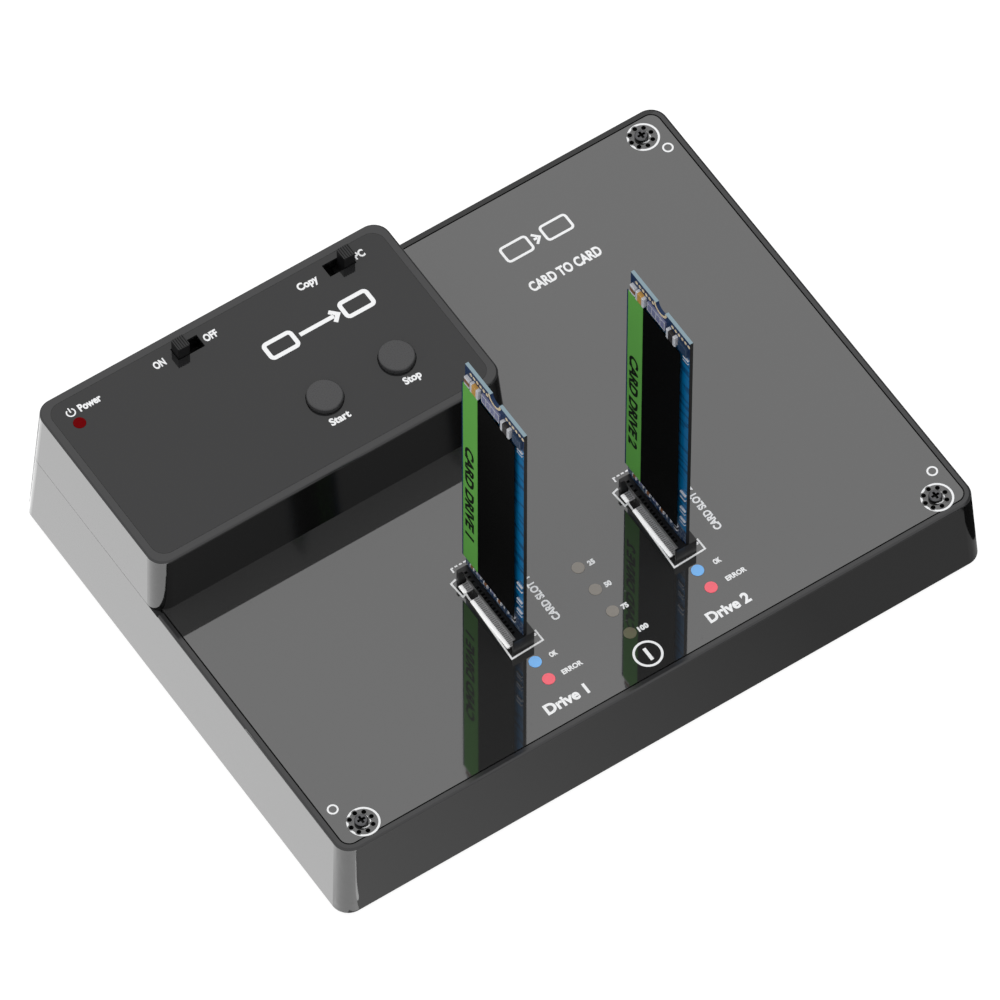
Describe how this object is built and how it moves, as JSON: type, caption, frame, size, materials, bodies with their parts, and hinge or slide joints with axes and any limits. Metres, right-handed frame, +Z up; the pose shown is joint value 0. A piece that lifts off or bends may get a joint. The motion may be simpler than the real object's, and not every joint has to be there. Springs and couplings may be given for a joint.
{
  "type": "drive duplicator",
  "caption": "Desktop duplicator for card drives: drafted tray under a glossy board, raised control box with buttons and slide switches, upright edge sockets with cards standing in them.",
  "frame": {"origin": "centre of the footprint, on the plane that the rubber feet stand on", "axes": "+X to the right along the long front edge, +Y to the back, where the ports are, +Z up"},
  "size_m": [0.1644, 0.1254, 0.1041],
  "materials": {
    "base_plastic": "satin moulded",
    "housing_plastic": "satin moulded",
    "fascia_gloss": "polished",
    "board_gloss": "glossy black solder mask",
    "board_matt": "solder mask",
    "foot_rubber": "matt",
    "screw_black": "black oxide",
    "screw_steel": "plated",
    "switch_case": "moulded",
    "knob_plastic": "moulded, ridged top",
    "button_plastic": "satin",
    "plunger_plastic": "moulded",
    "lamp_red": "clear red lens",
    "lamp_source": "moulded",
    "lamp_pale": "diffusing lens",
    "lamp_blue": "lit lens",
    "lamp_pink": "lit lens",
    "socket_plastic": "moulded",
    "contact_metal": "tinned",
    "card_blue": "blue solder mask",
    "chip_plastic": "moulded",
    "label_paper": "laminated",
    "part_ceramic": "ceramic",
    "jack_plastic": "moulded",
    "pin_metal": "gold plated",
    "shell_metal": "drawn",
    "coil_ferrite": "ferrite",
    "capacitor_can": "drawn"
  },
  "bodies": {
    "chassis": {"base_tray": "base_plastic", "control_housing": "housing_plastic", "control_fascia": "fascia_gloss", "main_board": "board_gloss", "control_board": "board_matt", "rubber_feet": "foot_rubber", "board_screws": "screw_black", "housing_screws": "screw_steel", "control_board_screws": "screw_steel", "power_switch_body": "switch_case", "mode_switch_body": "switch_case", "start_switch_body": "switch_case", "stop_switch_body": "switch_case", "power_lens": "lamp_red", "power_led": "lamp_source", "progress_leds": "lamp_pale", "ready_leds": "lamp_blue", "error_leds": "lamp_pink", "dc_jack_body": "jack_plastic", "dc_jack_pin": "pin_metal", "usb_c_shell": "shell_metal", "usb_c_tongue": "jack_plastic", "board_link": "jack_plastic", "board_link_pins": "pin_metal", "controller_chips": "chip_plastic", "power_coils": "coil_ferrite", "capacitors": "capacitor_can", "socket_1_housing": "socket_plastic", "socket_1_contacts": "contact_metal", "socket_2_housing": "socket_plastic", "socket_2_contacts": "contact_metal"},
    "power_knob": {"power_switch_knob": "knob_plastic"},
    "mode_knob": {"mode_switch_knob": "knob_plastic"},
    "start_button": {"start_button_cap": "button_plastic", "start_button_plunger": "plunger_plastic"},
    "stop_button": {"stop_button_cap": "button_plastic", "stop_button_plunger": "plunger_plastic"},
    "drive_1": {"drive_1_board": "card_blue", "drive_1_chips": "chip_plastic", "drive_1_label": "label_paper", "drive_1_components": "part_ceramic"},
    "drive_2": {"drive_2_board": "card_blue", "drive_2_chips": "chip_plastic", "drive_2_label": "label_paper", "drive_2_components": "part_ceramic"}
  },
  "joints": [
    {"name": "power_switch_slide", "type": "slide", "parent": "chassis", "child": "power_knob", "axis": [1, 0, 0], "range_m": [0, 0.0035]},
    {"name": "mode_switch_slide", "type": "slide", "parent": "chassis", "child": "mode_knob", "axis": [1, 0, 0], "range_m": [-0.0035, 0]},
    {"name": "start_button_press", "type": "slide", "parent": "chassis", "child": "start_button", "axis": [0, 0, -1], "range_m": [0, 0.0005], "stiffness_N_per_m": 2000},
    {"name": "stop_button_press", "type": "slide", "parent": "chassis", "child": "stop_button", "axis": [0, 0, -1], "range_m": [0, 0.0005], "stiffness_N_per_m": 2000},
    {"name": "drive_1_lift", "type": "slide", "parent": "chassis", "child": "drive_1", "axis": [0, 0, 1], "range_m": [0, 0.02]},
    {"name": "drive_2_lift", "type": "slide", "parent": "chassis", "child": "drive_2", "axis": [0, 0, 1], "range_m": [0, 0.02]}
  ]
}
